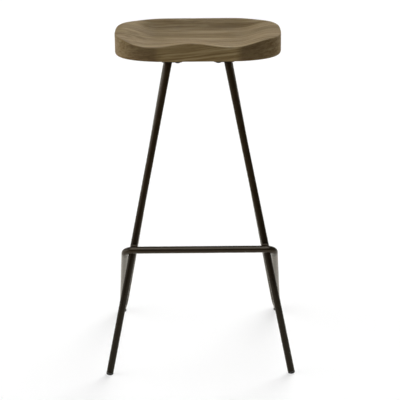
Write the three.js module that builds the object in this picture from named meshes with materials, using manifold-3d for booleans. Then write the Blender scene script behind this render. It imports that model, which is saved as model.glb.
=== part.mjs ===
// Bar stool with footrest: a carved saddle seat of solid wood on a welded frame of bent steel rod.
// Millimetres, +Z up. The front faces -Y, and left means -X, as seen from the front.
// The origin is on the floor, below the middle of the seat.
import * as THREE from "three";
import { mergeVertices } from "three/addons/utils/BufferGeometryUtils.js";
import Module from "manifold-3d";

const wasm = await Module();
wasm.setup();

// ---- Driving dimensions -------------------------------------------------------------------------
const GAP = 0.3; // clearance kept wherever two pieces touch

// Seat
const SEAT_WIDTH = 375;
const SEAT_DEPTH = 270;
const SEAT_HEIGHT = 760; // floor to the top of the seat's rim
const RIM_THICKNESS = 44;
const OUTLINE_POWER = 3.1; // squareness of the rounded ends
const OUTLINE_DEPTH = 279; // depth that the rounded ends would reach without the flat front and back
const OUTLINE_BLEND = 0.8; // sharpness, per millimetre, where the ends meet the flats
const EDGE_ROUND = 2.5;

// The carved saddle in the seat's top, as heights above its underside
const CARVE_X = -15; // where the carving's middle has drifted to at the front edge
const CARVE_BACK_Y = 60; // behind this the carving is centred on the seat
const DISH_FLOOR = 27.5;
const LIP_RISE = 4.4; // how much the floor climbs towards the front edge
const LIP_START_Y = -40;
const THIGH_DIP_X = 92; // half the distance between the two thigh dips
const END_BANK = 82; // run of the slope that climbs to each end
const BACK_BANK = 72; // run of the slope that climbs to the back
const POMMEL_HEIGHT = 8.5;
const POMMEL_HALF_WIDTH = 86;
const POMMEL_REACH = 129; // how far back from the front edge the pommel fades out

// Frame of round rod
const ROD = 16;
const HAIRPIN_RADIUS = 25;
const CORNER_RADIUS = 22;
const LEG_TOP = { x: 64.5, y: 86 }; // all four legs meet the plates at these distances
const FRONT_FOOT = { x: 209, y: -200 };
const REAR_FOOT = { x: 194, y: 206 }; // where a rear leg's centre line would meet the floor
const HAIRPIN_DROP = 27.3; // depth below the floor where the two runs of a hairpin would cross
const FOOTREST_HEIGHT = 292;
const FOOTREST_GAP = 0.9; // between the footrest and the front legs behind it, bridged by the welds
const SIDE_ROD_X = 168; // the side rods' centre lines at the footrest's corners
const BUTT_JOINT = 8; // straight stub between a corner bend and its butt weld

// Mounting plates, bolts, washers and threaded inserts
const PLATE = { inner: 35, width: 45, length: 232, thickness: 5 };
const BOLT_X = 45;
const BOLT_YS = { front: -101, middle: 0, rear: 101 };
const BOLT = { diameter: 6, reach: 17, head: 12, headHeight: 2.8, socket: 4, socketDepth: 1.6 };
const WASHER = { diameter: 14, thickness: 1 };
const INSERT = { diameter: 10, length: 13, ridge: 0.8 };
const BORE_DEPTH = 16;

// Floor glides
const FRONT_GLIDE = { height: 6, round: 2, spigot: 6, spigotLength: 12, facet: 1.4 };
const REAR_GLIDE = { length: 24, width: 13, thickness: 2, saddle: 2.5 };

// Facets
const ROD_SIDES = 20;
const BEND_STEPS = 12;
const SEAT_SIDES = 96;
const SEAT_RINGS = 13;
const SMALL_SIDES = 16;

// ---- Derived sizes ------------------------------------------------------------------------------
const SEAT_UNDERSIDE = SEAT_HEIGHT - RIM_THICKNESS;
const PLATE_TOP = SEAT_UNDERSIDE - GAP;
const PLATE_UNDERSIDE = PLATE_TOP - PLATE.thickness;
const ROD_TOP = PLATE_UNDERSIDE - GAP;
const ROD_RADIUS = ROD / 2;

// ---- Materials ----------------------------------------------------------------------------------
const finish = (color, roughness, metalness) =>
  new THREE.MeshStandardMaterial({ color, roughness, metalness });
const MATERIALS = {
  wood: finish(0x7f6e52, 0.55, 0),
  coated_steel: finish(0x2a2219, 0.3, 0.2),
  weld: finish(0x2a2219, 0.45, 0.2),
  blackened_bolt: finish(0x1c1b1a, 0.4, 0.9),
  zinc: finish(0xa9abab, 0.4, 1),
  black_nylon: finish(0x161514, 0.6, 0),
};

const stool = new THREE.Group();
stool.name = "bar_stool";

function addPiece(name, geometry, material) {
  geometry.computeVertexNormals();
  const mesh = new THREE.Mesh(geometry, material);
  mesh.name = name;
  stool.add(mesh);
}

// ---- Solids -------------------------------------------------------------------------------------
// A closed three.js geometry as a manifold solid.
function solidOf(geometry) {
  const bare = new THREE.BufferGeometry();
  bare.setAttribute("position", geometry.getAttribute("position"));
  bare.setIndex(geometry.getIndex());
  const merged = mergeVertices(bare, 1e-4);
  return new wasm.Manifold(
    new wasm.Mesh({
      numProp: 3,
      vertProperties: new Float32Array(merged.attributes.position.array),
      triVerts: new Uint32Array(merged.index.array),
    }),
  );
}

function geometryOf(solid) {
  const mesh = solid.getMesh();
  const geometry = new THREE.BufferGeometry();
  geometry.setAttribute("position", new THREE.BufferAttribute(mesh.vertProperties, 3));
  geometry.setIndex(new THREE.BufferAttribute(mesh.triVerts, 1));
  return geometry;
}

// A block between two corners.
function block(low, high) {
  const size = new THREE.Vector3().subVectors(high, low);
  const middle = new THREE.Vector3().addVectors(low, high).multiplyScalar(0.5);
  return new THREE.BoxGeometry(size.x, size.y, size.z).translate(middle.x, middle.y, middle.z);
}

// A solid of revolution about Z. The profile is a list of [radius, height], from the bottom up.
function turned(profile, sides) {
  const points = profile.map(([radius, height]) => new THREE.Vector2(radius, height));
  return new THREE.LatheGeometry(points, sides).rotateX(Math.PI / 2);
}

// A straight cylinder about Z.
const cylinder = (radius, bottom, top, sides) =>
  turned([[0, bottom], [radius, bottom], [radius, top], [0, top]], sides);

// Everything in the slab between two heights, for trimming pieces parallel to the floor.
const slab = (bottom, top) =>
  solidOf(block(new THREE.Vector3(-400, -400, bottom), new THREE.Vector3(400, 400, top)));

// ---- Rods ---------------------------------------------------------------------------------------
// The centre line of a bent rod: straight runs joined by round bends. Each run is one step of the
// curve's own parameter and each bend is BEND_STEPS of them, so long runs stay free of facets.
class RodLine extends THREE.Curve {
  constructor(corners, radius) {
    super();
    this.stations = [{ point: corners[0], tangent: direction(corners[0], corners[1]) }];
    for (let i = 1; i < corners.length - 1; i++) {
      this.addBend(corners[i - 1], corners[i], corners[i + 1], radius);
    }
    const last = corners.length - 1;
    this.stations.push({
      point: corners[last],
      tangent: direction(corners[last - 1], corners[last]),
    });
  }

  addBend(before, corner, after, radius) {
    const arriving = direction(before, corner);
    const leaving = direction(corner, after);
    const turn = arriving.angleTo(leaving);
    const trim = radius * Math.tan(turn / 2);
    const axis = new THREE.Vector3().crossVectors(arriving, leaving).normalize();
    const start = corner.clone().addScaledVector(arriving, -trim);
    const inward = new THREE.Vector3().crossVectors(axis, arriving);
    const centre = start.clone().addScaledVector(inward, radius);
    for (let step = 0; step <= BEND_STEPS; step++) {
      const angle = (turn * step) / BEND_STEPS;
      const spoke = inward.clone().multiplyScalar(-radius).applyAxisAngle(axis, angle);
      this.stations.push({
        point: centre.clone().add(spoke),
        tangent: arriving.clone().applyAxisAngle(axis, angle),
      });
    }
  }

  get steps() {
    return this.stations.length - 1;
  }

  getPointAt(u) {
    return this.stations[Math.round(u * this.steps)].point.clone();
  }

  getTangentAt(u) {
    return this.stations[Math.round(u * this.steps)].tangent.clone();
  }

  getPoint(t) {
    return this.getPointAt(t);
  }
}

function direction(from, to) {
  return new THREE.Vector3().subVectors(to, from).normalize();
}

function rod(corners, bendRadius, rodRadius = ROD_RADIUS) {
  const circle = [];
  for (let i = 0; i < ROD_SIDES; i++) {
    const angle = (2 * Math.PI * i) / ROD_SIDES;
    circle.push(new THREE.Vector2(rodRadius * Math.cos(angle), rodRadius * Math.sin(angle)));
  }
  const line = new RodLine(corners, bendRadius);
  return new THREE.ExtrudeGeometry(new THREE.Shape(circle), {
    steps: line.steps,
    extrudePath: line,
  });
}

// The point at a given height on the line through two points.
function pointAtHeight(a, b, height) {
  return a.clone().lerp(b, (height - a.z) / (b.z - a.z));
}

// Moves a point from a towards b by a distance.
const stepTowards = (a, b, distance) => a.clone().addScaledVector(direction(a, b), distance);

// ---- Seat ---------------------------------------------------------------------------------------
const smooth = (t) => THREE.MathUtils.smoothstep(t, 0, 1);

// Height of the carved top above the seat's underside.
function seatTop(x, y) {
  const drift = CARVE_X * smooth((CARVE_BACK_Y - y) / (CARVE_BACK_Y + SEAT_DEPTH / 2));
  const across = Math.abs(x - drift);
  const frontness = Math.max(0, (LIP_START_Y - y) / (LIP_START_Y + SEAT_DEPTH / 2));
  const floor = DISH_FLOOR + LIP_RISE * frontness ** 2;
  const ends = smooth((across - THIGH_DIP_X) / END_BANK);
  const back = smooth((y - SEAT_DEPTH / 2 + BACK_BANK) / BACK_BANK);
  const dish = (RIM_THICKNESS - floor) * (1 - ends) * (1 - back);
  const flank = Math.min(across / POMMEL_HALF_WIDTH, 1);
  const ridge = 0.5 + 0.5 * Math.cos(Math.PI * flank);
  const fade = smooth(1 - (y + SEAT_DEPTH / 2) / POMMEL_REACH);
  return RIM_THICKNESS - dish + POMMEL_HEIGHT * ridge * fade;
}

// The plan outline: rounded ends cut off flat at the front and the back.
function seatOutline(angle, inset) {
  const bend = (value) => Math.sign(value) * Math.abs(value) ** (2 / OUTLINE_POWER);
  const x = (SEAT_WIDTH / 2) * bend(Math.cos(angle));
  const y = (OUTLINE_DEPTH / 2) * bend(Math.sin(angle));
  const k = OUTLINE_BLEND;
  const cut = -Math.log(Math.exp(-k * Math.abs(y)) + Math.exp((-k * SEAT_DEPTH) / 2)) / k;
  const point = new THREE.Vector2(x, Math.sign(y) * Math.max(cut, 0));
  return point.setLength(point.length() - inset);
}

// Rings of points from the middle of the top, over the rounded edge and down to the underside.
function seatRings() {
  const rings = [];
  const ringAt = (inset, scale, heightOf) => {
    const ring = [];
    for (let i = 0; i < SEAT_SIDES; i++) {
      const p = seatOutline((2 * Math.PI * (i + 0.5)) / SEAT_SIDES, inset).multiplyScalar(scale);
      ring.push(new THREE.Vector3(p.x, p.y, SEAT_UNDERSIDE + heightOf(p)));
    }
    rings.push(ring);
  };
  for (let i = 1; i <= SEAT_RINGS; i++) {
    ringAt(EDGE_ROUND, i / SEAT_RINGS, (p) => seatTop(p.x, p.y));
  }
  const half = EDGE_ROUND * (1 - Math.SQRT1_2);
  ringAt(half, 1, (p) => seatTop(p.x, p.y) - half);
  ringAt(0, 1, (p) => seatTop(p.x, p.y) - EDGE_ROUND);
  ringAt(0, 1, () => EDGE_ROUND);
  ringAt(half, 1, () => half);
  ringAt(EDGE_ROUND, 1, () => 0);
  return rings;
}

function seatBlank() {
  const rings = seatRings();
  const positions = [0, 0, SEAT_UNDERSIDE + seatTop(0, 0)];
  for (const point of rings.flat()) {
    positions.push(point.x, point.y, point.z);
  }
  positions.push(0, 0, SEAT_UNDERSIDE);
  const lastVertex = positions.length / 3 - 1;
  const at = (ring, i) => 1 + ring * SEAT_SIDES + (i % SEAT_SIDES);
  const faces = [];
  for (let i = 0; i < SEAT_SIDES; i++) {
    faces.push(0, at(0, i), at(0, i + 1));
    for (let ring = 0; ring < rings.length - 1; ring++) {
      faces.push(at(ring, i), at(ring + 1, i), at(ring + 1, i + 1));
      faces.push(at(ring, i), at(ring + 1, i + 1), at(ring, i + 1));
    }
    faces.push(at(rings.length - 1, i), lastVertex, at(rings.length - 1, i + 1));
  }
  const geometry = new THREE.BufferGeometry();
  geometry.setAttribute("position", new THREE.Float32BufferAttribute(positions, 3));
  geometry.setIndex(faces);
  return geometry;
}

const SIDES = [["left", -1], ["right", 1]];
const boltPlaces = SIDES.flatMap(([sideName, side]) =>
  Object.entries(BOLT_YS).map(([where, y]) => ({
    name: where + "_" + sideName,
    x: side * BOLT_X,
    y,
  })),
);

function seat() {
  let solid = solidOf(seatBlank());
  const boreRadius = INSERT.diameter / 2 + GAP;
  for (const { x, y } of boltPlaces) {
    const bore = cylinder(boreRadius, SEAT_UNDERSIDE - 1, SEAT_UNDERSIDE + BORE_DEPTH, SMALL_SIDES);
    solid = solid.subtract(solidOf(bore.translate(x, y, 0)));
  }
  return geometryOf(solid);
}

addPiece("seat", seat(), MATERIALS.wood);

// ---- Mounting plates ----------------------------------------------------------------------------
// A flat bar under each side of the seat, which one front leg and one rear leg are welded to.
function mountPlate(side) {
  const corners = [side * PLATE.inner, side * (PLATE.inner + PLATE.width)].sort((a, b) => a - b);
  const low = new THREE.Vector3(corners[0], -PLATE.length / 2, PLATE_UNDERSIDE);
  const high = new THREE.Vector3(corners[1], PLATE.length / 2, PLATE_TOP);
  let solid = solidOf(block(low, high));
  for (const y of Object.values(BOLT_YS)) {
    const hole = cylinder(BOLT.diameter / 2 + GAP, PLATE_UNDERSIDE - 1, PLATE_TOP + 1, SMALL_SIDES);
    solid = solid.subtract(solidOf(hole.translate(side * BOLT_X, y, 0)));
  }
  return geometryOf(solid);
}

for (const [sideName, side] of SIDES) {
  addPiece("mount_plate_" + sideName, mountPlate(side), MATERIALS.coated_steel);
}

// ---- Bolts, washers and threaded inserts --------------------------------------------------------
const WASHER_TOP = PLATE_UNDERSIDE - GAP;
const HEAD_TOP = WASHER_TOP - WASHER.thickness - GAP;

// A pan-head bolt, head down, with a hexagon socket.
function bolt() {
  const head = BOLT.head / 2;
  const shank = BOLT.diameter / 2;
  const bottom = HEAD_TOP - BOLT.headHeight;
  const tip = HEAD_TOP + BOLT.reach + PLATE.thickness;
  const body = turned(
    [
      [0, bottom],
      [head - 2.2, bottom],
      [head - 0.7, bottom + 0.8],
      [head, bottom + 2],
      [head, HEAD_TOP],
      [shank, HEAD_TOP],
      [shank, tip - 1],
      [shank - 1, tip],
      [0, tip],
    ],
    SMALL_SIDES,
  );
  const socket = cylinder(BOLT.socket / Math.sqrt(3), bottom - 1, bottom + BOLT.socketDepth, 6);
  return solidOf(body).subtract(solidOf(socket));
}

function washer() {
  const outer = WASHER.diameter / 2;
  const inner = BOLT.diameter / 2 + GAP;
  const bottom = WASHER_TOP - WASHER.thickness;
  const profile = [[inner, bottom], [outer, bottom], [outer, WASHER_TOP], [inner, WASHER_TOP]];
  return turned([...profile, profile[0]], SMALL_SIDES);
}

// A threaded insert: a sleeve with two raised rings that grip the wood.
function insert() {
  const outer = INSERT.diameter / 2;
  const inner = BOLT.diameter / 2 + GAP;
  const root = outer - INSERT.ridge;
  const bottom = SEAT_UNDERSIDE + GAP;
  const at = (share) => bottom + share * INSERT.length;
  const profile = [
    [inner, bottom],
    [outer, bottom],
    [outer, at(0.15)],
    [root, at(0.25)],
    [outer, at(0.45)],
    [root, at(0.65)],
    [outer, at(0.8)],
    [root, at(1)],
    [inner, at(1)],
  ];
  return turned([...profile, profile[0]], SMALL_SIDES);
}

for (const { name, x, y } of boltPlaces) {
  addPiece("bolt_" + name, geometryOf(bolt()).translate(x, y, 0), MATERIALS.blackened_bolt);
  addPiece("washer_" + name, washer().translate(x, y, 0), MATERIALS.blackened_bolt);
  addPiece("insert_" + name, insert().translate(x, y, 0), MATERIALS.zinc);
}

// ---- Frame --------------------------------------------------------------------------------------
// Everything that shapes one side of the frame, as points on the rods' centre lines.
function sideLines(side) {
  const frontTop = new THREE.Vector3(side * LEG_TOP.x, -LEG_TOP.y, PLATE_UNDERSIDE);
  const frontFoot = new THREE.Vector3(side * FRONT_FOOT.x, FRONT_FOOT.y, 0);
  const rearTop = new THREE.Vector3(side * LEG_TOP.x, LEG_TOP.y, PLATE_UNDERSIDE);
  const rearFoot = new THREE.Vector3(side * REAR_FOOT.x, REAR_FOOT.y, 0);
  const hairpin = pointAtHeight(rearTop, rearFoot, -HAIRPIN_DROP);
  const lean = (frontFoot.y - frontTop.y) / PLATE_UNDERSIDE;
  const footrestY =
    pointAtHeight(frontTop, frontFoot, FOOTREST_HEIGHT).y - (ROD + FOOTREST_GAP) * Math.hypot(1, lean);
  const corner = new THREE.Vector3(side * SIDE_ROD_X, footrestY, FOOTREST_HEIGHT);
  const turn = new THREE.Vector3(side, 0, 0).angleTo(direction(corner, hairpin));
  const joint = stepTowards(corner, hairpin, CORNER_RADIUS * Math.tan(turn / 2) + BUTT_JOINT);
  return { frontTop, frontFoot, rearTop, hairpin, corner, joint };
}

const left = sideLines(-1);
const right = sideLines(1);

// A front leg: one straight rod, cut level under the plate, with a hole for its glide's spigot.
// The lower end is cut square, and the glide reaches from there to the floor.
const glideReach = FRONT_GLIDE.height - FRONT_GLIDE.facet;
const legEnd = ({ frontTop, frontFoot }) => stepTowards(frontFoot, frontTop, glideReach);

// Turns a solid built about Z from height 0 up so that it stands on a front leg's lower end.
function onLegEnd(geometry, lines) {
  const up = direction(lines.frontFoot, lines.frontTop);
  const tilt = new THREE.Quaternion().setFromUnitVectors(new THREE.Vector3(0, 0, 1), up);
  const end = legEnd(lines);
  return geometry.applyQuaternion(tilt).translate(end.x, end.y, end.z);
}

function frontLeg(lines) {
  const above = stepTowards(lines.frontTop, lines.frontFoot, -ROD);
  const hole = cylinder(
    FRONT_GLIDE.spigot / 2 + GAP,
    -1,
    FRONT_GLIDE.spigotLength + 1,
    SMALL_SIDES,
  );
  const solid = solidOf(rod([legEnd(lines), above]))
    .intersect(slab(-ROD, ROD_TOP))
    .subtract(solidOf(onLegEnd(hole, lines)));
  return geometryOf(solid);
}

// A front glide: a nylon end of the rod's own diameter, worn flat where it meets the floor.
function frontGlide(lines) {
  const { height, round, spigot, spigotLength } = FRONT_GLIDE;
  const body = turned(
    [
      [0, -height],
      [ROD_RADIUS - round, -height],
      [ROD_RADIUS - round * 0.3, -height + round * 0.3],
      [ROD_RADIUS, -height + round],
      [ROD_RADIUS, -GAP],
      [spigot / 2, -GAP],
      [spigot / 2, spigotLength],
      [0, spigotLength],
    ],
    ROD_SIDES,
  );
  return geometryOf(solidOf(onLegEnd(body, lines)).intersect(slab(0, 100)));
}

// A hairpin rod: the rear leg, the tight bend at the foot and the side rod in one length.
function hairpinRod({ rearTop, hairpin, corner, joint }) {
  const above = stepTowards(rearTop, hairpin, -ROD);
  const end = stepTowards(joint, corner, -GAP);
  const solid = solidOf(rod([above, hairpin, end], HAIRPIN_RADIUS)).intersect(slab(-ROD, ROD_TOP));
  return geometryOf(solid);
}

// A rear glide: a flat nylon pad with a saddle that the hairpin's underside rests in.
function rearGlide({ rearTop, hairpin, corner }) {
  const { length, width, thickness, saddle } = REAR_GLIDE;
  const line = new RodLine([rearTop, hairpin, corner], HAIRPIN_RADIUS);
  const lowest = line.stations.reduce((a, b) => (b.point.z < a.point.z ? b : a));
  const heading = Math.atan2(corner.y - hairpin.y, corner.x - hairpin.x);
  const outline = new THREE.Shape();
  const straight = (length - width) / 2;
  outline.absarc(straight, 0, width / 2, -Math.PI / 2, Math.PI / 2);
  outline.absarc(-straight, 0, width / 2, Math.PI / 2, (3 * Math.PI) / 2);
  const pad = new THREE.ExtrudeGeometry(outline, {
    depth: thickness + saddle,
    bevelEnabled: false,
    curveSegments: 8,
  });
  pad.rotateZ(heading).translate(lowest.point.x, lowest.point.y, 0);
  const clearance = rod([rearTop, hairpin, corner], HAIRPIN_RADIUS, ROD_RADIUS + GAP);
  return geometryOf(solidOf(pad).subtract(solidOf(clearance)));
}

// The footrest: a bar across the front legs, bent round both of them into two short stubs.
function footrestBar() {
  const corners = [left.joint, left.corner, right.corner, right.joint];
  return rod(corners, CORNER_RADIUS);
}

for (const [sideName, lines] of [["left", left], ["right", right]]) {
  addPiece("front_leg_" + sideName, frontLeg(lines), MATERIALS.coated_steel);
  addPiece("hairpin_rod_" + sideName, hairpinRod(lines), MATERIALS.coated_steel);
  addPiece("front_glide_" + sideName, frontGlide(lines), MATERIALS.black_nylon);
  addPiece("rear_glide_" + sideName, rearGlide(lines), MATERIALS.black_nylon);
}
addPiece("footrest_bar", footrestBar(), MATERIALS.coated_steel);

// ---- Welds --------------------------------------------------------------------------------------
const PLATE_WELD = { spread: 4.5, height: 4.5 };
const CROSS_WELD = { radius: 3.4, length: 9, lift: 6.6 };

// A fillet round the top of a leg, where it meets its plate.
function plateWeld(top, below) {
  const base = ROD_RADIUS + PLATE_WELD.spread;
  const neck = ROD_RADIUS + 1;
  const bottom = ROD_TOP - PLATE_WELD.height;
  const middle = pointAtHeight(top, below, ROD_TOP - PLATE_WELD.height / 2);
  const collar = turned(
    [[0, bottom], [neck, bottom], [neck + 1.2, bottom + 2.4], [base, ROD_TOP], [0, ROD_TOP]],
    ROD_SIDES,
  ).translate(middle.x, middle.y, 0);
  const leg = rod([stepTowards(top, below, -ROD), below], 0, ROD_RADIUS + GAP);
  return geometryOf(solidOf(collar).subtract(solidOf(leg)));
}

// A bead in the notch between the footrest and a front leg, above it (1) or below it (-1).
function crossWeld(lines, upOrDown) {
  const height = FOOTREST_HEIGHT + upOrDown * CROSS_WELD.lift;
  const onLeg = pointAtHeight(lines.frontTop, lines.frontFoot, height);
  const bead = new THREE.CapsuleGeometry(CROSS_WELD.radius, CROSS_WELD.length, 4, 10);
  bead.rotateZ(Math.PI / 2);
  bead.translate(onLeg.x, (onLeg.y + lines.corner.y) / 2, height);
  const leg = rod([lines.frontTop, lines.frontFoot], 0, ROD_RADIUS + GAP);
  const stubs = [left.joint, left.corner, right.corner, right.joint];
  const bar = rod(stubs, CORNER_RADIUS, ROD_RADIUS + GAP);
  return geometryOf(solidOf(bead).subtract(solidOf(leg)).subtract(solidOf(bar)));
}

for (const [sideName, lines] of [["left", left], ["right", right]]) {
  const frontWeld = plateWeld(lines.frontTop, lines.frontFoot);
  addPiece("weld_front_leg_" + sideName, frontWeld, MATERIALS.weld);
  addPiece("weld_rear_leg_" + sideName, plateWeld(lines.rearTop, lines.hairpin), MATERIALS.weld);
  addPiece("weld_footrest_upper_" + sideName, crossWeld(lines, 1), MATERIALS.weld);
  addPiece("weld_footrest_lower_" + sideName, crossWeld(lines, -1), MATERIALS.weld);
}

export default stool;
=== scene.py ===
"""A bar stool with a footrest: the finished surfaces that go round the CAD frame.

Metres, +Z up, the front faces -Y and left means -X. The origin is on the floor, below the middle of the
seat. Sizes that aren't read from the frame are repeated from the CAD model.
"""

import math

import bpy
from mathutils import Matrix, Vector, noise


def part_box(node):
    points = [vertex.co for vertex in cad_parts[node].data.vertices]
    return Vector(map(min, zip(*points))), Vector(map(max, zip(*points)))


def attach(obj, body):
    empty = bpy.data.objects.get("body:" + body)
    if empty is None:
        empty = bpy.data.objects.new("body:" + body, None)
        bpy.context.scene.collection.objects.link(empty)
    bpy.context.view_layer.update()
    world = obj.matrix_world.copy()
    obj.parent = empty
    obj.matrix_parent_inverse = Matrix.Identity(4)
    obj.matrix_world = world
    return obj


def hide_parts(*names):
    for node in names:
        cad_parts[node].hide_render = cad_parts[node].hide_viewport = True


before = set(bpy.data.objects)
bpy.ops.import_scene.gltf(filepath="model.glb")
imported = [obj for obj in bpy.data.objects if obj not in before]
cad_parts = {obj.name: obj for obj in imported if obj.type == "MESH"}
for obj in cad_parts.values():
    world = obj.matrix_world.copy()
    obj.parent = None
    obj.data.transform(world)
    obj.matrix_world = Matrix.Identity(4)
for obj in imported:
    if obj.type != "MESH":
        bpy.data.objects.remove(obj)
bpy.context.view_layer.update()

# ---- Camera -------------------------------------------------------------------------------------
CAMERA_PLACE = Vector((-0.003, -3.194, 1.417))
CAMERA_TILT = math.radians(18.422)  # below the horizon
CAMERA_PAN = math.radians(0.09)
CAMERA_ROLL = math.radians(0.45)
CAMERA_LENS = 128.7  # millimetres, on a sensor 36 mm wide


def add_camera():
    data = bpy.data.cameras.new("camera")
    data.sensor_width = 36
    data.lens = CAMERA_LENS
    camera = bpy.data.objects.new("camera", data)
    turn = (
        Matrix.Rotation(-CAMERA_PAN, 4, "Z")
        @ Matrix.Rotation(math.pi / 2 - CAMERA_TILT, 4, "X")
        @ Matrix.Rotation(-CAMERA_ROLL, 4, "Z")
    )
    camera.matrix_world = Matrix.Translation(CAMERA_PLACE) @ turn
    bpy.context.scene.collection.objects.link(camera)
    bpy.context.scene.camera = camera


add_camera()

# ---- Sizes --------------------------------------------------------------------------------------
MM = 0.001

# Seat
SEAT_WIDTH = 375 * MM
SEAT_DEPTH = 270 * MM
RIM_THICKNESS = 44 * MM
OUTLINE_POWER = 3.1  # of the superellipse that the seat's plan follows at its ends
OUTLINE_DEPTH = 279 * MM  # of that superellipse, before the front and back are cut straight
OUTLINE_BLEND = 800  # per metre, sharpness of the turn from the curve to the straight
EDGE_ROUND = 2.4 * MM
SEAT_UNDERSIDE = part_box("seat")[0].z

# The carved saddle, as heights above the seat's underside
CARVE_X = -15 * MM  # where the carving's middle has drifted to at the front edge
CARVE_BACK_Y = 60 * MM  # behind this the carving is centred on the seat
DISH_FLOOR = 27.5 * MM
LIP_RISE = 4.4 * MM  # of the dish's floor towards the front edge
LIP_START_Y = -40 * MM
THIGH_DIP_X = 92 * MM  # from the carving's middle to where the end banks start
END_BANK = 82 * MM  # width of the slope up to each end
BACK_BANK = 72 * MM  # depth of the slope up to the back
POMMEL_HEIGHT = 8.5 * MM
POMMEL_HALF_WIDTH = 86 * MM
POMMEL_REACH = 129 * MM  # how far back from the front edge the pommel runs
HAND_FINISH = 0.35 * MM  # unevenness that hand sanding leaves
SANDING_WAVES = (14, 22, 22)  # per metre along X, Y and Z

# Frame of round rod
ROD_RADIUS = 8 * MM
HAIRPIN_RADIUS = 25 * MM
CORNER_RADIUS = 22 * MM
LEG_TOP = Vector((64.5 * MM, 86 * MM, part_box("mount_plate_left")[0].z))
FRONT_FOOT = Vector((209 * MM, -200 * MM, 0))
REAR_FOOT = Vector((194 * MM, 206 * MM, 0))
HAIRPIN_DROP = 27.3 * MM  # how far below the floor the hairpin's unrounded corner lies
FOOTREST_HEIGHT = 292 * MM
FOOTREST_GAP = 0.9 * MM  # between the footrest and the front legs, bridged by the welds
SIDE_ROD_X = 168 * MM  # where the side rods meet the footrest's unrounded corners
BUTT_JOINT = 8 * MM  # from the end of each corner bend to the joint behind it
GAP = 0.3 * MM  # between parts that touch

# Floor glides
FRONT_GLIDE_HEIGHT = 6 * MM
FRONT_GLIDE_FACET = 1.4 * MM  # length worn off where it meets the floor
FRONT_GLIDE_ROUND = 2 * MM
SPIGOT_RADIUS = 3 * MM
SPIGOT_LENGTH = 12 * MM
SPIGOT_CHAMFER = 1 * MM
REAR_PAD_WIDTH = 13 * MM
REAR_PAD_LENGTH = 24 * MM
REAR_PAD_HEIGHT = 4.5 * MM
SADDLE_GAP = 0.1 * MM  # between the rear pad's saddle and the rod
NYLON_EDGE = 0.4 * MM

# Plates and rod ends
PLATE_CORNER = 4 * MM
STEEL_EDGE = 0.5 * MM

# Fasteners
FASTENER_EDGE = 0.2 * MM  # bevel on bolt heads and washers
BOLT_RADIUS = 3 * MM
BOLT_TIP_RADIUS = BOLT_RADIUS - 1 * MM
BOLT_HEAD_HEIGHT = 2.8 * MM
BOLT_CROWN = 2.2 * MM  # radius of the head's round edge
BOLT_FLAT_RING = 0.6 * MM  # a ring in the head's flat face that keeps its shading flat
BOLT_POINT = 0.4 * MM  # length of the tip's chamfer
BOLT_SOCKET = 4 * MM  # across flats
BOLT_SOCKET_DEPTH = 1.6 * MM
THREAD_START = 5 * MM  # above the head
THREAD_END = 1 * MM  # at least this far below the tip
THREAD_PITCH = 1 * MM
THREAD_DEPTH = 0.4 * MM
INSERT_EDGE = 0.3 * MM
INSERT_PLAIN = 1.5 * MM  # stretch without ridges at each end
INSERT_PITCH = 2 * MM  # of the ridges, which stand in for an outer thread
INSERT_VALLEY = 0.8 * MM  # of each pitch
INSERT_CREST = (1.2 * MM, 1.4 * MM)  # where in each pitch the crest starts and ends
INSERT_RIDGE = 0.8 * MM  # height of a ridge

# Drilled holes
DRILL_RUN_IN = 5 * MM  # how far outside the surface a cut starts
DRILL_POINT = 3 * MM  # how far past the insert the seat's holes run

# Fineness
ROD_SIDES = 48
BEND_STEPS = 28
SEAT_SIDES = 288
SEAT_RINGS = 72
RING_CROWDING = 0.85  # under 1 crowds the seat's rings towards its edge
TURNED_SIDES = 48
DRILL_SIDES = 32
SHARP_ANGLE = 35  # degrees, the least turn at an edge that is rounded


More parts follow.
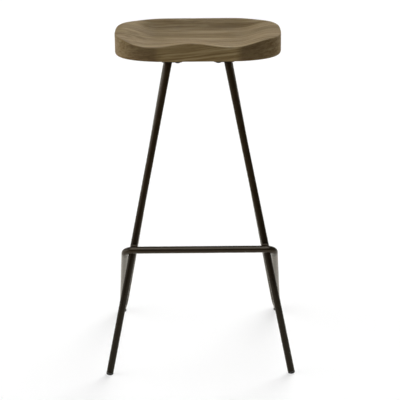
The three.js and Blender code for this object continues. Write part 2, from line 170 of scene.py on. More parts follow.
# ---- Node materials -----------------------------------------------------------------------------
class Nodes:
    """A node tree that is built one call at a time."""

    def __init__(self, tree):
        self.tree = tree
        self.tree.nodes.clear()

    def add(self, kind, **settings):
        node = self.tree.nodes.new("ShaderNode" + kind)
        for key, value in settings.items():
            setattr(node, key, value)
        return node

    def link(self, source, target):
        self.tree.links.new(source, target)

    def feed(self, socket, value):
        if isinstance(value, bpy.types.NodeSocket):
            self.link(value, socket)
        else:
            socket.default_value = value

    def math(self, operation, a, b=0.0):
        node = self.add("Math", operation=operation)
        self.feed(node.inputs[0], a)
        self.feed(node.inputs[1], b)
        return node.outputs[0]

    def vector_math(self, operation, *values):
        node = self.add("VectorMath", operation=operation)
        for socket, value in zip(node.inputs, values):
            self.feed(socket, value)
        return node.outputs[0]

    def split(self, vector):
        """The vector's three numbers, by index or by axis name."""
        node = self.add("SeparateXYZ")
        self.link(vector, node.inputs[0])
        return node.outputs

    def joined(self, x, y, z):
        node = self.add("CombineXYZ")
        for socket, value in zip(node.inputs, (x, y, z)):
            self.feed(socket, value)
        return node.outputs[0]

    def scaled(self, vector, scale, offset=(0, 0, 0)):
        node = self.add("Mapping")
        self.link(vector, node.inputs["Vector"])
        node.inputs["Scale"].default_value = scale
        node.inputs["Location"].default_value = offset
        return node.outputs["Vector"]

    def noise(self, vector, detail=2.0, roughness=0.5, color=False):
        """A noise with one unit of the vector to a cell, so a scaled vector sets its size."""
        node = self.add("TexNoise")
        self.link(vector, node.inputs["Vector"])
        node.inputs["Scale"].default_value = 1.0
        node.inputs["Detail"].default_value = detail
        node.inputs["Roughness"].default_value = roughness
        return node.outputs["Color" if color else "Fac"]

    def ramp(self, value, *stops):
        """Each stop is a position and a grey level or a colour."""
        node = self.add("ValToRGB")
        elements = node.color_ramp.elements
        while len(elements) < len(stops):
            elements.new(1.0)
        for element, (position, colour) in zip(elements, stops):
            level = colour if isinstance(colour, tuple) else (colour,) * 3
            element.position = position
            element.color = (*level, 1)
        self.link(value, node.inputs["Fac"])
        return node.outputs["Color"]

    def mix(self, factor, a, b, blend="MIX"):
        node = self.add("Mix", data_type="RGBA", blend_type=blend)
        self.feed(node.inputs["Factor"], factor)
        for index, value in ((6, a), (7, b)):  # the node's two colour sockets
            self.feed(node.inputs[index], (*value, 1) if isinstance(value, tuple) else value)
        return node.outputs[2]

    def times(self, a, b):
        return self.mix(1.0, a, b, "MULTIPLY")

    def bump(self, height, distance, strength, under=None):
        """A normal for relief that is a distance deep, on top of another bump's normal."""
        node = self.add("Bump")
        node.inputs["Strength"].default_value = strength
        node.inputs["Distance"].default_value = distance
        self.link(height, node.inputs["Height"])
        if under is not None:
            self.link(under, node.inputs["Normal"])
        return node.outputs["Normal"]


class Shader(Nodes):
    """A new material with one surface shader."""

    def __init__(self, name):
        self.material = bpy.data.materials.new(name)
        self.material.use_nodes = True
        super().__init__(self.material.node_tree)
        self.surface = self.add("BsdfPrincipled")
        output = self.add("OutputMaterial")
        self.link(self.surface.outputs["BSDF"], output.inputs["Surface"])
        self.place = self.add("TexCoord").outputs["Object"]

    def set(self, **values):
        """Sets the surface's own sockets: base_color=..., roughness=... and so on."""
        for key, value in values.items():
            name = key.replace("_", " ").title().replace("Ior", "IOR")
            self.feed(self.surface.inputs[name], value)


FIBRE_CLIMB = 0.13  # rise of the wood's fibres per unit of X
TOP_LAYERS = 0.2  # share of the wood's layers that show on faces looking up or down
WOOD_TONES = (
    (0.39, (0.110, 0.067, 0.022)),
    (0.46, (0.165, 0.110, 0.044)),
    (0.53, (0.228, 0.164, 0.076)),
    (0.62, (0.302, 0.232, 0.122)),
)
WEATHERED_TONE = (0.194, 0.140, 0.070)
PORE_TONE = (0.070, 0.042, 0.018)
END_GRAIN_TONES = ((0.35, (0.062, 0.038, 0.015)), (0.65, (0.087, 0.056, 0.025)))
# Past 0.5 the ramp falls again: painted light on the seat's far ends, not end grain.
END_GRAIN_AND_PAINTED_END_LIGHT = ((0.04, 0.0), (0.16, 0.85), (0.5, 0.8), (0.95, 0.4))  # 1 faces along the log


def wood():
    """Straight-grained hardwood, stained grey-brown under a satin lacquer. The log ran along X."""
    s = Shader("stained_wood")

    def displaced(vector, scale, amount, offset):
        """The vector pushed about by a smooth noise."""
        push = s.noise(s.scaled(vector, scale, offset), color=True)
        centred = s.vector_math("SUBTRACT", push, (0.5, 0.5, 0.5))
        return s.vector_math("MULTIPLY_ADD", centred, amount, vector)

    facing = s.split(s.add("NewGeometry").outputs["Normal"])
    # 1 on upright faces and 0 on faces that look up or down
    upright = s.ramp(s.math("ABSOLUTE", facing["Z"]), (0.3, 1.0), (0.8, 0.0))

    # Along the fibres, which climb a little towards +X and wander.
    x = s.split(s.place)["X"]
    climbing = s.vector_math("MULTIPLY_ADD", s.joined(x, x, x), (0, 0, -FIBRE_CLIMB), s.place)
    # The layers lie so flat that the carved top cuts through few of them.
    flatness = s.joined(1.0, 1.0, s.ramp(upright, (0.0, TOP_LAYERS), (1.0, 1.0)))
    layered = s.vector_math("MULTIPLY", climbing, flatness)
    grain = displaced(layered, (4, 10, 10), (0, 0.012, 0.012), (4, 1, 8))
    grain = displaced(grain, (22, 70, 70), (0, 0.002, 0.002), (2, 7, 5))

    fibre = s.noise(s.scaled(grain, (9, 300, 300)), detail=4, roughness=0.6)
    streak = s.noise(s.scaled(grain, (5, 110, 300), (20, 16, 7)), detail=3, roughness=0.55)
    band = s.noise(s.scaled(grain, (2.2, 28, 110), (21, 19, 3)))
    tone = s.math("MULTIPLY", band, 0.26)
    tone = s.math("ADD", tone, s.math("MULTIPLY", fibre, 0.30))
    tone = s.math("ADD", tone, s.math("MULTIPLY", streak, 0.44))
    patch = s.noise(s.scaled(s.place, (5, 11, 11), (3, 20, 2)), detail=3)
    patchy = s.ramp(patch, (0.44, 0.0), (0.64, 0.4))
    weathered = s.mix(patchy, s.ramp(tone, *WOOD_TONES), WEATHERED_TONE)
    pore = s.noise(s.scaled(grain, (34, 900, 900), (1, 5, 3)), detail=1)
    pore = s.ramp(pore, (0.62, 0.0), (0.70, 1.0))
    pored = s.mix(s.math("MULTIPLY", pore, 0.42), weathered, PORE_TONE)

    # Wood that is cut across its grain drinks more stain. Where faces point straight along the log the
    # darkening eases off again: painted light on the seat's far ends.
    along_log = s.math("ABSOLUTE", facing["X"])
    end_grain_and_end_light = s.math("MULTIPLY", s.ramp(along_log, *END_GRAIN_AND_PAINTED_END_LIGHT), upright)
    speckle = s.noise(s.scaled(s.place, (700, 700, 700), (5, 5, 5)))
    cut_across = s.ramp(speckle, *END_GRAIN_TONES)
    s.set(base_color=s.mix(s.math("MULTIPLY", end_grain_and_end_light, 0.8), pored, cut_across))

    s.set(roughness=s.ramp(fibre, (0.3, 0.56), (0.7, 0.72)))
    s.set(specular_ior_level=0.15)
    relief = s.bump(fibre, 0.5 * MM, 0.35)
    s.set(normal=s.bump(pore, -0.4 * MM, 0.5, under=relief))
    return s.material


COATING_TONES = ((0.3, (0.0145, 0.0090, 0.0042)), (0.7, (0.0220, 0.0140, 0.0068)))
COATING_SHEEN = (1.0, 0.91, 0.76, 1.0)
# Painted shade on the front legs: the coating's tone is scaled darker towards the floor.
PAINTED_FOOT_SHADE = ((0.0, 0.35), (0.30, 0.55), (0.45, 1.3))  # heights in metres, and shares of the tone


def coated_steel(name, rough=0.0, gloss=0.3, painted_foot_shade=False):
    """Steel under a thin satin coating, nearly black with a brown cast.

    Rough is for the welds. A painted foot shade makes the coating darker towards the floor: painted
    shade on the lower legs, not a change in the coating.
    """
    s = Shader(name)
    mottle = s.noise(s.scaled(s.place, (35, 35, 35)), detail=4, roughness=0.6)
    colour = s.ramp(mottle, *COATING_TONES)
    # Painted shade: the colour gets darker towards the floor.
    if painted_foot_shade:
        colour = s.times(colour, s.ramp(s.split(s.place)["Z"], *PAINTED_FOOT_SHADE))
    s.set(base_color=colour)
    s.set(roughness=s.ramp(mottle, (0.3, 0.19 + rough), (0.7, 0.27 + rough)))
    s.set(specular_ior_level=gloss, specular_tint=COATING_SHEEN)
    peel = s.noise(s.scaled(s.place, (1100, 1100, 1100)))
    s.set(normal=s.bump(peel, (0.2 + 2 * rough) * MM, 0.25))
    return s.material


def blackened_steel():
    s = Shader("blackened_steel")
    rub = s.noise(s.scaled(s.place, (220, 220, 220)), detail=3)
    s.set(base_color=s.ramp(rub, (0.35, (0.022, 0.021, 0.020)), (0.75, (0.075, 0.073, 0.070))))
    s.set(metallic=0.9)
    s.set(roughness=s.ramp(rub, (0.3, 0.30), (0.7, 0.45)))
    s.set(normal=s.bump(rub, 0.2 * MM, 0.2))
    return s.material


def zinc():
    s = Shader("zinc_plate")
    bloom = s.noise(s.scaled(s.place, (350, 350, 350)), detail=3)
    s.set(base_color=s.ramp(bloom, (0.3, (0.36, 0.37, 0.37)), (0.7, (0.52, 0.53, 0.53))))
    s.set(metallic=1.0)
    s.set(roughness=s.ramp(bloom, (0.3, 0.32), (0.7, 0.48)))
    return s.material


def black_nylon():
    s = Shader("black_nylon")
    grain = s.noise(s.scaled(s.place, (1400, 1400, 1400)))
    scuff = s.noise(s.scaled(s.place, (120, 120, 400)), detail=3)
    s.set(base_color=s.ramp(scuff, (0.4, (0.010, 0.010, 0.010)), (0.8, (0.030, 0.029, 0.028))))
    s.set(roughness=s.ramp(scuff, (0.3, 0.48), (0.8, 0.68)))
    s.set(normal=s.bump(grain, 0.1 * MM, 0.4))
    return s.material


WOOD = wood()
STEEL = coated_steel("coated_steel")
# The front legs carry painted shade, darker towards their feet.
LEG_STEEL = coated_steel("leg_steel", gloss=0.2, painted_foot_shade=True)
HAIRPIN_STEEL = coated_steel("hairpin_steel", gloss=0.6)
WELD = coated_steel("weld_steel", rough=0.16)
BOLT_STEEL = blackened_steel()
ZINC = zinc()
NYLON = black_nylon()


# ---- Mesh helpers -------------------------------------------------------------------------------
def new_object(name, vertices, faces, material):
    mesh = bpy.data.meshes.new(name)
    mesh.from_pydata([tuple(v) for v in vertices], [], faces)
    mesh.materials.append(material)
    mesh.validate()
    piece = bpy.data.objects.new(name, mesh)
    bpy.context.scene.collection.objects.link(piece)
    return piece


def settle(piece):
    """Turns the piece's modifiers into its mesh."""
    evaluated = piece.evaluated_get(bpy.context.evaluated_depsgraph_get())
    mesh = bpy.data.meshes.new_from_object(evaluated)
    piece.modifiers.clear()
    piece.data = mesh


def cut(piece, cutter, operation="DIFFERENCE"):
    """Cuts the cutter out of the piece, or keeps only what lies in it, and uses it up."""
    modifier = piece.modifiers.new("cut", "BOOLEAN")
    modifier.operation = operation
    modifier.solver = "EXACT"
    modifier.object = cutter
    settle(piece)
    bpy.data.objects.remove(cutter)


def soften(piece, width, segments):
    """Rounds the piece's sharp edges."""
    modifier = piece.modifiers.new("soften", "BEVEL")
    modifier.width = width
    modifier.segments = segments
    modifier.limit_method = "ANGLE"
    modifier.angle_limit = math.radians(SHARP_ANGLE)
    settle(piece)


def finish_piece(piece, node, smooth_angle=38):
    """Shades a piece, makes it ride on the stool and puts it in its CAD node's place."""
    piece.data.shade_smooth()
    piece.data.set_sharp_from_angle(angle=math.radians(smooth_angle))
    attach(piece, "root")
    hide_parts(node)


def ring_faces(rings, sides, close_ends=False, loop=False):
    """Quads between neighbouring rings of vertices, with flat caps or joined into a loop."""
    faces = []
    for ring in range(rings if loop else rings - 1):
        this, following = ring * sides, ((ring + 1) % rings) * sides
        for i in range(sides):
            j = (i + 1) % sides
            faces.append((this + i, this + j, following + j, following + i))
    if close_ends:
        faces.append(tuple(reversed(range(sides))))
        faces.append(tuple(range((rings - 1) * sides, rings * sides)))
    return faces


def turned(profile, sides=TURNED_SIDES, ring=False):
    """Vertices and faces of a solid of revolution about Z, from (radius, height) points.

    A solid's profile runs from the bottom up, and its two ends are closed with flat caps. A ring's
    profile closes on itself.
    """
    vertices = []
    for radius, height in profile:
        for i in range(sides):
            angle = 2 * math.pi * i / sides
            vertices.append((radius * math.cos(angle), radius * math.sin(angle), height))
    return vertices, ring_faces(len(profile), sides, close_ends=not ring, loop=ring)


def moved(vertices, matrix):
    return [matrix @ Vector(v) for v in vertices]


def drill(piece, place, radius, bottom, top, sides=TURNED_SIDES):
    """Drills an upright round hole through the piece, or a polygon's with few sides."""
    vertices, faces = turned([(radius, bottom), (radius, top)], sides)
    cut(piece, new_object("drill", moved(vertices, place), faces, piece.data.materials[0]))


def upright_place(node):
    """Where an upright CAD node stands, and its box."""
    low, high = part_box(node)
    return Matrix.Translation(((low.x + high.x) / 2, (low.y + high.y) / 2, 0)), low, high


def arc(centre, radius, start, end, steps):
    """(radius, height) points along an arc of a profile, angles in degrees."""
    points = []
    for i in range(steps + 1):
        angle = math.radians(start + (end - start) * i / steps)
        across = centre[0] + radius * math.cos(angle)
        points.append((across, centre[1] + radius * math.sin(angle)))
    return points


# ---- Seat ---------------------------------------------------------------------------------------
def smooth(t):
    t = min(max(t, 0.0), 1.0)
    return t * t * (3 - 2 * t)


def seat_top(x, y):
    """Height of the carved top above the seat's underside."""
    drift = CARVE_X * smooth((CARVE_BACK_Y - y) / (CARVE_BACK_Y + SEAT_DEPTH / 2))
    across = abs(x - drift)
    frontness = max(0.0, (LIP_START_Y - y) / (LIP_START_Y + SEAT_DEPTH / 2))
    floor = DISH_FLOOR + LIP_RISE * frontness**2
    ends = smooth((across - THIGH_DIP_X) / END_BANK)
    back = smooth((y - SEAT_DEPTH / 2 + BACK_BANK) / BACK_BANK)
    dish = (RIM_THICKNESS - floor) * (1 - ends) * (1 - back)
    ridge = 0.5 + 0.5 * math.cos(math.pi * min(across / POMMEL_HALF_WIDTH, 1))
    fade = smooth(1 - (y + SEAT_DEPTH / 2) / POMMEL_REACH)
    return RIM_THICKNESS - dish + POMMEL_HEIGHT * ridge * fade


def hand_finish(x, y, z):
    """The small unevenness of a surface sanded by hand, which only takes wood away."""
    across, along, up = SANDING_WAVES
    return -HAND_FINISH * (0.5 + 0.5 * noise.noise(Vector((x * across, y * along, z * up))))


def seat_outline():
    """The plan outline as points with their outward normals."""
    k = OUTLINE_BLEND

    def bend(v):
        return math.copysign(abs(v) ** (2 / OUTLINE_POWER), v)

    points = []
    for i in range(SEAT_SIDES):
        angle = 2 * math.pi * (i + 0.5) / SEAT_SIDES
        x = SEAT_WIDTH / 2 * bend(math.cos(angle))
        y = OUTLINE_DEPTH / 2 * bend(math.sin(angle))
        flat = -math.log(math.exp(-k * abs(y)) + math.exp(-k * SEAT_DEPTH / 2)) / k
        points.append(Vector((x, math.copysign(max(flat, 0), y))))
    outline = []
    for i, point in enumerate(points):
        along = points[(i + 1) % SEAT_SIDES] - points[i - 1]
        outline.append((point, Vector((along.y, -along.x)).normalized()))
    return outline


def seat():
    outline = seat_outline()
    vertices = []

    def add_ring(inset, scale, height_of):
        for point, outward in outline:
            p = (point - outward * inset) * scale
            vertices.append((p.x, p.y, SEAT_UNDERSIDE + height_of(p.x, p.y)))

    def top(x, y):
        height = seat_top(x, y)
        return height + hand_finish(x, y, height)

    # The carved top, from the middle out, with its rings closer together towards the edge
    for i in range(1, SEAT_RINGS + 1):
        add_ring(EDGE_ROUND, (i / SEAT_RINGS) ** RING_CROWDING, top)
    # The rounded upper edge
    for degrees in (18, 36, 54, 72, 90):
        angle = math.radians(degrees)
        inset = EDGE_ROUND * (1 - math.sin(angle))
        drop = EDGE_ROUND * (1 - math.cos(angle))
        add_ring(inset, 1, lambda x, y: top(x, y) - drop)
    # The upright side
    for share in (0.75, 0.5, 0.25, 0):
        add_ring(0, 1, lambda x, y: EDGE_ROUND + share * (top(x, y) - 2 * EDGE_ROUND))
    # The rounded lower edge
    for degrees in (30, 60, 90):
        angle = math.radians(degrees)
        inset = EDGE_ROUND * (1 - math.cos(angle))
        rise = EDGE_ROUND * (1 - math.sin(angle))
        add_ring(inset, 1, lambda x, y: rise)

    rings = len(vertices) // SEAT_SIDES
    faces = [tuple(reversed(f)) for f in ring_faces(rings, SEAT_SIDES)]
    middle = len(vertices)
    vertices.append((0, 0, SEAT_UNDERSIDE + top(0, 0)))
    for i in range(SEAT_SIDES):
        faces.append((middle, i, (i + 1) % SEAT_SIDES))
    faces.append(tuple(reversed(range((rings - 1) * SEAT_SIDES, rings * SEAT_SIDES))))
    piece = new_object("seat_finished", vertices, faces, WOOD)
    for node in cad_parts:
        if node.startswith("insert_"):
            place, low, high = upright_place(node)
            radius = (high.x - low.x) / 2 + GAP
            drill(piece, place, radius, low.z - DRILL_RUN_IN, high.z + DRILL_POINT)
    finish_piece(piece, "seat", smooth_angle=50)


seat()


# ---- Rods ---------------------------------------------------------------------------------------
def stations(corners, radius):
    """Points and tangents along straight runs joined by round bends."""
    line = [(corners[0], (corners[1] - corners[0]).normalized())]
    for before, corner, after in zip(corners, corners[1:], corners[2:]):
        arriving = (corner - before).normalized()
        leaving = (after - corner).normalized()
        turn = arriving.angle(leaving)
        axis = arriving.cross(leaving).normalized()
        start = corner - arriving * radius * math.tan(turn / 2)
        inward = axis.cross(arriving)
        centre = start + inward * radius
        for step in range(BEND_STEPS + 1):
            spin = Matrix.Rotation(turn * step / BEND_STEPS, 3, axis)
            line.append((centre - spin @ inward * radius, spin @ arriving))
    line.append((corners[-1], (corners[-1] - corners[-2]).normalized()))
    return line


def swept(line, radius=ROD_RADIUS, sides=ROD_SIDES):
    """Vertices and faces of a round rod along a line of stations."""
    across = line[0][1].orthogonal().normalized()
    vertices = []
    for point, tangent in line:
        across = (across - tangent * across.dot(tangent)).normalized()
        beside = tangent.cross(across)
        for i in range(sides):
            angle = 2 * math.pi * i / sides
            vertices.append(point + radius * (across * math.cos(angle) + beside * math.sin(angle)))
    return vertices, ring_faces(len(line), sides, close_ends=True)


def at_height(a, b, height):
    return a.lerp(b, (height - a.z) / (b.z - a.z))


def towards(a, b, distance):
    return a + (b - a).normalized() * distance


def side_lines(side):
    """The points that shape one side of the frame, on its rods' centre lines."""
    front_top = Vector((side * LEG_TOP.x, -LEG_TOP.y, LEG_TOP.z))
    rear_top = Vector((side * LEG_TOP.x, LEG_TOP.y, LEG_TOP.z))
    front_foot = Vector((side * FRONT_FOOT.x, FRONT_FOOT.y, 0))
    rear_foot = Vector((side * REAR_FOOT.x, REAR_FOOT.y, 0))
    hairpin = at_height(rear_top, rear_foot, -HAIRPIN_DROP)
    lean = (front_foot.y - front_top.y) / LEG_TOP.z
    crossing = at_height(front_top, front_foot, FOOTREST_HEIGHT)
    footrest_y = crossing.y - (2 * ROD_RADIUS + FOOTREST_GAP) * math.hypot(1, lean)
    corner = Vector((side * SIDE_ROD_X, footrest_y, FOOTREST_HEIGHT))
    turn = Vector((side, 0, 0)).angle(hairpin - corner)
    joint = towards(corner, hairpin, CORNER_RADIUS * math.tan(turn / 2) + BUTT_JOINT)
    return {
        "front_top": front_top,
        "front_foot": front_foot,
        "rear_top": rear_top,
        "hairpin": hairpin,
        "corner": corner,
        "joint": joint,
    }


SIDES = {"left": side_lines(-1), "right": side_lines(1)}
ROD_TOP = LEG_TOP.z - GAP
CLEAR = 0.5  # well outside every piece


def keep_between(piece, bottom, top):
    """Trims a piece to the space between two heights."""
    corners = [(-CLEAR, -CLEAR), (CLEAR, -CLEAR), (CLEAR, CLEAR), (-CLEAR, CLEAR)]
    vertices = [(x, y, z) for z in (bottom, top) for x, y in corners]
    slab = new_object("slab", vertices, ring_faces(2, 4, close_ends=True), STEEL)
    cut(piece, slab, "INTERSECT")


def front_leg(name, lines):
    reach = FRONT_GLIDE_HEIGHT - FRONT_GLIDE_FACET
    end = towards(lines["front_foot"], lines["front_top"], reach)
    above = towards(lines["front_top"], lines["front_foot"], -2 * ROD_RADIUS)
    piece = new_object("front_leg_%s_finished" % name, *swept(stations([end, above], 0)), LEG_STEEL)
    keep_between(piece, -CLEAR, ROD_TOP)
    soften(piece, STEEL_EDGE, 3)
    finish_piece(piece, "front_leg_" + name)


def hairpin_rod(name, lines):
    above = towards(lines["rear_top"], lines["hairpin"], -2 * ROD_RADIUS)
    line = stations([above, lines["hairpin"], lines["joint"]], HAIRPIN_RADIUS)
    piece = new_object("hairpin_rod_%s_finished" % name, *swept(line), HAIRPIN_STEEL)
    keep_between(piece, -CLEAR, ROD_TOP)
    finish_piece(piece, "hairpin_rod_" + name)


def footrest():
    left, right = SIDES["left"], SIDES["right"]
    line = stations([left["joint"], left["corner"], right["corner"], right["joint"]], CORNER_RADIUS)
    piece = new_object("footrest_bar_finished", *swept(line), STEEL)
    finish_piece(piece, "footrest_bar")


def front_glide(name, lines):
    """A nylon end of the rod's own diameter, worn flat where it meets the floor."""
    r, h, corner = ROD_RADIUS, FRONT_GLIDE_HEIGHT, FRONT_GLIDE_ROUND
    profile = arc((r - corner, corner - h), corner, -90, 0, 6)
    profile += [(r, -GAP - NYLON_EDGE), (r - NYLON_EDGE, -GAP), (SPIGOT_RADIUS, -GAP)]
    profile += [(SPIGOT_RADIUS, SPIGOT_LENGTH - SPIGOT_CHAMFER)]
    profile += [(SPIGOT_RADIUS - SPIGOT_CHAMFER, SPIGOT_LENGTH)]
    up = (lines["front_top"] - lines["front_foot"]).normalized()
    end = lines["front_foot"] + up * (h - FRONT_GLIDE_FACET)
    place = Matrix.Translation(end) @ Vector((0, 0, 1)).rotation_difference(up).to_matrix().to_4x4()
    vertices, faces = turned(profile)
    piece = new_object("front_glide_%s_finished" % name, moved(vertices, place), faces, NYLON)
    keep_between(piece, 0, CLEAR)
    finish_piece(piece, "front_glide_" + name)


def rear_glide(name, lines):
    """A flat nylon pad with a saddle that the hairpin's underside rests in."""
    low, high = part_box("rear_glide_" + name)
    middle = ((low + high) / 2).to_2d()
    heading = (lines["corner"] - lines["hairpin"]).to_2d().normalized()
    beside = Vector((-heading.y, heading.x))
    radius = REAR_PAD_WIDTH / 2
    straight = REAR_PAD_LENGTH / 2 - radius
    outline = []
    for centre, start in ((straight, -90), (-straight, 90)):
        outline += [(centre + a, b) for a, b in arc((0, 0), radius, start, start + 180, 14)]
    vertices = []
    for z in (0, REAR_PAD_HEIGHT):
        for a, b in outline:
            p = middle + heading * a + beside * b
            vertices.append((p.x, p.y, z))
    faces = ring_faces(2, len(outline), close_ends=True)
    piece = new_object("rear_glide_%s_finished" % name, vertices, faces, NYLON)
    line = stations([lines["rear_top"], lines["hairpin"], lines["corner"]], HAIRPIN_RADIUS)
    cut(piece, new_object("rod", *swept(line, ROD_RADIUS + SADDLE_GAP), NYLON))
    soften(piece, NYLON_EDGE, 2)
    finish_piece(piece, "rear_glide_" + name)


for side_name, side_points in SIDES.items():
    front_leg(side_name, side_points)
    hairpin_rod(side_name, side_points)
    front_glide(side_name, side_points)
    rear_glide(side_name, side_points)
footrest()

# ---- Welds --------------------------------------------------------------------------------------
WELD_SPREAD = 4.5 * MM
WELD_HEIGHT = 4.5 * MM
WELD_BITE = 0.3 * MM  # how deep a bead reaches into the rod
WELD_BULGE = 1.3  # power that shapes a bead's face
WELD_WAVES = 11  # each gives the bead round a leg two ripples
WELD_RIPPLE = 0.07  # height of a ripple, as a share of the bead
WELD_SWELL = 0.08  # slower unevenness, as a share of the bead
WELD_STEPS = 120
BEAD_STEPS = 10
CROSS_WELD_RADIUS = 3.0 * MM
CROSS_WELD_RIPPLE = 0.06
CROSS_WELD_TAPER = 0.6  # power of a round end: under 1 keeps the bead full for longer
CROSS_WELD_STEPS = 40
CROSS_WELD_SIDES = 20


def plate_weld(node, top, below):
    """A rippled fillet round the top of a leg, where it meets its plate."""
    direction = (below - top).normalized()
    plan = direction.to_2d()
    lean_angle = math.atan2(plan.y, plan.x)
    stretch = 1 / abs(direction.z)
    bulges = []
    for i in range(BEAD_STEPS + 1):
        bead = math.radians(90 * i / BEAD_STEPS)
        bulges.append((math.cos(bead) ** WELD_BULGE, math.sin(bead) ** WELD_BULGE))
    vertices = []
    for step in range(WELD_STEPS):
        angle = 2 * math.pi * step / WELD_STEPS
        outward = Vector((math.cos(angle), math.sin(angle)))
        # The rod's level section is an ellipse, stretched the way the rod leans.
        c, s = math.cos(angle - lean_angle), math.sin(angle - lean_angle)
        rod_edge = ROD_RADIUS / math.hypot(c / stretch, s)
        ripple = 1 + WELD_RIPPLE * abs(math.sin(angle * WELD_WAVES + 0.6 * math.sin(3 * angle)))
        unevenness = noise.noise(Vector((math.cos(angle), math.sin(angle), top.y * 9)))
        swell = ripple * (1 + WELD_SWELL * unevenness)
        # A quarter bead: a bulging face outside, and a corner buried in the rod and plate.
        section = [(WELD_SPREAD * swell * out, WELD_HEIGHT * swell * drop) for out, drop in bulges[:-1]]
        section += [(-WELD_BITE, WELD_HEIGHT * swell), (-WELD_BITE, 0)]
        for out, drop in section:
            height = ROD_TOP - drop
            point = at_height(top, below, height).to_2d() + outward * (rod_edge + out)
            vertices.append((point.x, point.y, height))
    faces = [tuple(reversed(f)) for f in ring_faces(WELD_STEPS, BEAD_STEPS + 2, loop=True)]
    piece = new_object(node + "_finished", vertices, faces, WELD)
    finish_piece(piece, node, smooth_angle=60)


def cross_weld(node):
    """A rippled bead in the notch between the footrest and a front leg."""
    low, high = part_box(node)
    middle = (low + high) / 2
    half = (high.x - low.x) / 2
    vertices = []
    for step in range(CROSS_WELD_STEPS + 1):
        share = -1 + 2 * (step + 0.5) / (CROSS_WELD_STEPS + 1)
        girth = math.sqrt(1 - share**2) ** CROSS_WELD_TAPER
        ripple = 1 + CROSS_WELD_RIPPLE * abs(math.sin(share * 9))
        for i in range(CROSS_WELD_SIDES):
            angle = 2 * math.pi * i / CROSS_WELD_SIDES
            y = middle.y + CROSS_WELD_RADIUS * girth * ripple * math.cos(angle)
            z = middle.z + CROSS_WELD_RADIUS * girth * ripple * math.sin(angle)
            vertices.append((middle.x + half * share, y, z))
    faces = ring_faces(CROSS_WELD_STEPS + 1, CROSS_WELD_SIDES, close_ends=True)
    piece = new_object(node + "_finished", vertices, faces, WELD)
    finish_piece(piece, node, smooth_angle=60)


for side_name, side_points in SIDES.items():
    plate_weld("weld_front_leg_" + side_name, side_points["front_top"], side_points["front_foot"])
    plate_weld("weld_rear_leg_" + side_name, side_points["rear_top"], side_points["hairpin"])
    cross_weld("weld_footrest_upper_" + side_name)
    cross_weld("weld_footrest_lower_" + side_name)


# ---- Plates and fasteners -----------------------------------------------------------------------
def mount_plate(name):
    node = "mount_plate_" + name
    low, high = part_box(node)
    radius = PLATE_CORNER
    outline = []
    for corner_x, corner_y, start in (
        (high.x - radius, high.y - radius, 0),
        (low.x + radius, high.y - radius, 90),
        (low.x + radius, low.y + radius, 180),
        (high.x - radius, low.y + radius, 270),
    ):
        outline += arc((corner_x, corner_y), radius, start, start + 90, 8)
    vertices = [(x, y, z) for z in (low.z, high.z) for x, y in outline]
    faces = ring_faces(2, len(outline), close_ends=True)
    piece = new_object(node + "_finished", vertices, faces, STEEL)
    bottom, top = low.z - DRILL_RUN_IN, high.z + DRILL_RUN_IN
    for row in ("front", "middle", "rear"):
        place, _, _ = upright_place("bolt_%s_%s" % (row, name))
        drill(piece, place, BOLT_RADIUS + GAP, bottom, top, DRILL_SIDES)
    soften(piece, STEEL_EDGE, 2)
    finish_piece(piece, node)


def bolt(node):
    """A pan-head bolt, head down, with a hexagon socket and a thread."""
    place, low, high = upright_place(node)
    head = (high.x - low.x) / 2
    head_top = low.z + BOLT_HEAD_HEIGHT
    flat = head - BOLT_CROWN
    profile = [(flat - BOLT_FLAT_RING, low.z)]
    profile += arc((flat, low.z + BOLT_CROWN), BOLT_CROWN, -90, 0, 7)
    profile += [(head, head_top - FASTENER_EDGE), (head - FASTENER_EDGE, head_top)]
    profile += [(BOLT_RADIUS, head_top)]
    root = BOLT_RADIUS - THREAD_DEPTH
    turns = int((high.z - head_top - THREAD_START - THREAD_END) / THREAD_PITCH)
    for turn in range(turns):
        z = head_top + THREAD_START + turn * THREAD_PITCH
        profile += [(BOLT_RADIUS, z), (root, z + THREAD_PITCH / 2)]
    profile += [(root, high.z - BOLT_POINT), (BOLT_TIP_RADIUS, high.z)]
    vertices, faces = turned(profile)
    piece = new_object(node + "_finished", moved(vertices, place), faces, BOLT_STEEL)
    socket_radius = BOLT_SOCKET / math.sqrt(3)
    drill(piece, place, socket_radius, low.z - DRILL_RUN_IN, low.z + BOLT_SOCKET_DEPTH, 6)
    finish_piece(piece, node)


def washer(node):
    place, low, high = upright_place(node)
    outer, inner, edge = (high.x - low.x) / 2, BOLT_RADIUS + GAP, FASTENER_EDGE
    profile = [
        (inner + edge, low.z),
        (outer - edge, low.z),
        (outer, low.z + edge),
        (outer, high.z - edge),
        (outer - edge, high.z),
        (inner + edge, high.z),
        (inner, high.z - edge),
        (inner, low.z + edge),
    ]
    vertices, faces = turned(profile, ring=True)
    piece = new_object(node + "_finished", moved(vertices, place), faces, BOLT_STEEL)
    finish_piece(piece, node, smooth_angle=20)


def insert(node):
    """A threaded sleeve whose outer thread grips the wood."""
    place, low, high = upright_place(node)
    outer, inner, edge = (high.x - low.x) / 2, BOLT_RADIUS + GAP, INSERT_EDGE
    root = outer - INSERT_RIDGE
    profile = [(inner + edge, low.z), (outer - edge, low.z), (outer, low.z + edge)]
    ridges = int((high.z - low.z - 2 * INSERT_PLAIN) / INSERT_PITCH)
    crest_start, crest_end = INSERT_CREST
    for ridge in range(ridges):
        z = low.z + INSERT_PLAIN + ridge * INSERT_PITCH
        profile += [(root, z), (root, z + INSERT_VALLEY)]
        profile += [(outer, z + crest_start), (outer, z + crest_end)]
    profile += [(root, high.z - edge), (root - edge, high.z), (inner + edge, high.z)]
    profile += [(inner, high.z - edge), (inner, low.z + edge)]
    vertices, faces = turned(profile, ring=True)
    piece = new_object(node + "_finished", moved(vertices, place), faces, ZINC)
    finish_piece(piece, node, smooth_angle=25)


for side_name in SIDES:
    mount_plate(side_name)
for node_name in sorted(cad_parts):
    for start, build in (("bolt_", bolt), ("washer_", washer), ("insert_", insert)):
        if node_name.startswith(start):
            build(node_name)

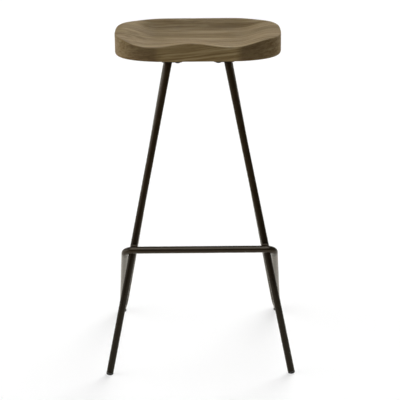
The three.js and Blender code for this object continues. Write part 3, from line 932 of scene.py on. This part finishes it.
# ---- Studio -------------------------------------------------------------------------------------
FLOOR_REACH = 30.0
FLOOR_WHITE = 0.93
FLOOR_GLOW = 0.5  # share of the floor's brightness that comes through it from below
FLOOR_LIGHT = 1.22  # how brightly the lights above fill the floor, for the glow to match
FLOOR_BOUNCE = (1.0, 0.97, 0.89)  # tint of what the floor gives back to the stool
DIM_Y = (-1.6, -0.75)  # the stool sees the floor go dim over this stretch in front of it
DIM_X = (0.8, 2.2)  # and over this stretch on its right


def floor():
    """A floor that the camera sees evenly white and the stool sees go dim in front and on the right."""
    s = Shader("white_floor")

    def fading(value, start, end):
        fade = s.add("MapRange", interpolation_type="SMOOTHSTEP")
        s.link(value, fade.inputs["Value"])
        fade.inputs["From Min"].default_value = start
        fade.inputs["From Max"].default_value = end
        return fade.outputs[0]

    x, y, _ = s.split(s.place)
    depth = s.ramp(fading(y, *DIM_Y), (0.0, 0.12), (1.0, FLOOR_WHITE))
    beside = s.ramp(fading(x, *DIM_X), (0.0, 1.0), (1.0, 0.4))
    bounced = s.times(s.times(depth, beside), FLOOR_BOUNCE)
    white = s.mix(s.add("LightPath").outputs["Is Camera Ray"], bounced, (FLOOR_WHITE,) * 3)
    s.set(base_color=s.times(white, (1 - FLOOR_GLOW,) * 3))
    s.set(emission_color=white, emission_strength=FLOOR_GLOW * FLOOR_LIGHT)
    s.set(roughness=0.9, specular_ior_level=0.0)
    reach = FLOOR_REACH
    corners = [(-reach, -reach, 0), (reach, -reach, 0), (reach, reach, 0), (-reach, reach, 0)]
    new_object("floor", corners, [(0, 1, 2, 3)], s.material)


def sun(name, azimuth, elevation, strength, spread, sheen=False):
    """A very soft distant light that either lights surfaces or only shows as their sheen.

    Azimuth 0 comes from behind the camera and 90 from the right.
    """
    data = bpy.data.lights.new(name, "SUN")
    data.energy = strength
    data.angle = math.radians(spread)
    light = bpy.data.objects.new(name, data)
    a, e = math.radians(azimuth), math.radians(elevation)
    source = Vector((math.sin(a) * math.cos(e), -math.cos(a) * math.cos(e), math.sin(e)))
    light.rotation_euler = (-source).to_track_quat("-Z", "Y").to_euler()
    light.visible_glossy = sheen
    light.visible_diffuse = not sheen
    bpy.context.scene.collection.objects.link(light)


def studio_world():
    """A white wall behind, dimmer on the right, a bright one on the left and a dim room in front."""
    world = bpy.data.worlds.new("studio")
    world.use_nodes = True
    bpy.context.scene.world = world
    w = Nodes(world.node_tree)
    x, y, _ = w.split(w.add("TexCoord").outputs["Generated"])
    # 0 on the camera's side and 1 straight behind the stool
    rearward = w.math("ADD", w.math("MULTIPLY", y, 0.5), 0.5)
    back = w.ramp(rearward, (0.12, 0.04), (0.40, 0.08), (0.80, 0.16), (0.98, 0.50))
    dimming = w.ramp(x, (0.0, 0.0), (0.5, 0.65), (0.85, 0.65), (1.0, 0.0))
    back = w.mix(dimming, back, (0.0, 0.0, 0.0))
    left = w.ramp(w.math("MULTIPLY", x, -1.0), (0.65, 0.0), (0.95, 1.7))
    light = w.add("Background")
    w.link(w.mix(1.0, back, left, "ADD"), light.inputs["Color"])
    light.inputs["Strength"].default_value = 1.0
    output = w.add("OutputWorld")
    w.link(light.outputs[0], output.inputs["Surface"])


def studio():
    floor()
    sun("back", azimuth=158, elevation=18, strength=5.8, spread=45)
    sun("overhead", azimuth=0, elevation=75, strength=3.2, spread=70, sheen=True)
    sun("front_fill", azimuth=-15, elevation=3, strength=1.05, spread=60)
    sun("left_fill", azimuth=-95, elevation=4, strength=2.4, spread=60)
    sun("right_fill", azimuth=85, elevation=4, strength=1.1, spread=60)
    studio_world()
    bpy.context.scene.view_settings.view_transform = "Standard"


studio()
